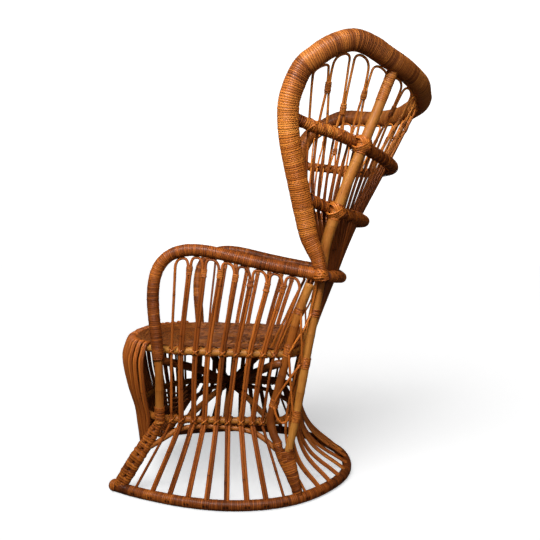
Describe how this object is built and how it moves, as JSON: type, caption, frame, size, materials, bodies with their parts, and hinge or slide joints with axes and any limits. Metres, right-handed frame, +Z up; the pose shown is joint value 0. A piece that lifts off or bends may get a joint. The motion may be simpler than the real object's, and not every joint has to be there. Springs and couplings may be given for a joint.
{
  "type": "peacock chair",
  "caption": "Rattan peacock lounge chair with a winged hairpin-reed back, bow arms, a woven seat, a front apron of reeds and a flared skirt standing on an open floor ring.",
  "frame": {"origin": "on the floor under the centre of the overall bounding box", "axes": "+Z up, -Y is the chair's front, +X is the sitter's left"},
  "size_m": [0.8644, 0.928, 1.1981],
  "materials": {
    "wrapped_cane": "glossy varnished cane wrap",
    "bare_pole": "varnished bare rattan pole",
    "reed": "varnished reed",
    "dark_cane": "dark stained cane",
    "seat_weave": "varnished woven cane"
  },
  "bodies": {
    "root": {"base_ring": "wrapped_cane", "back_border": "wrapped_cane", "left_arm_bow": "wrapped_cane", "right_arm_bow": "wrapped_cane", "upper_back_hoop": "wrapped_cane", "middle_back_hoop": "wrapped_cane", "lower_back_hoop": "wrapped_cane", "left_front_foot": "wrapped_cane", "right_front_foot": "wrapped_cane", "left_rear_foot": "wrapped_cane", "right_rear_foot": "wrapped_cane", "left_shoulder_lashing": "wrapped_cane", "right_shoulder_lashing": "wrapped_cane", "left_back_pole": "bare_pole", "right_back_pole": "bare_pole", "left_rear_leg": "bare_pole", "right_rear_leg": "bare_pole", "seat_rail": "bare_pole", "waist_rail": "bare_pole", "front_swag": "dark_cane", "left_side_arch": "dark_cane", "right_side_arch": "dark_cane", "cross_brace_a": "dark_cane", "cross_brace_b": "dark_cane", "seat_panel": "seat_weave", "front_apron": "reed", "left_side_reed_1": "reed", "left_side_reed_2": "reed", "left_side_reed_3": "reed", "left_side_reed_4": "reed", "left_side_reed_5": "reed", "left_side_reed_6": "reed", "left_side_reed_7": "reed", "left_side_reed_8": "reed", "right_side_reed_1": "reed", "right_side_reed_2": "reed", "right_side_reed_3": "reed", "right_side_reed_4": "reed", "right_side_reed_5": "reed", "right_side_reed_6": "reed", "right_side_reed_7": "reed", "right_side_reed_8": "reed", "back_reed_1": "reed", "back_reed_2": "reed", "back_reed_3": "reed", "back_reed_4": "reed", "back_reed_5": "reed", "back_reed_6": "reed", "back_reed_7": "reed", "back_reed_8": "reed", "back_reed_9": "reed", "back_reed_10": "reed", "back_reed_11": "reed", "back_reed_12": "reed", "back_reed_13": "reed", "back_reed_14": "reed", "back_reed_15": "reed", "back_reed_16": "reed", "back_reed_17": "reed"}
  },
  "joints": []
}
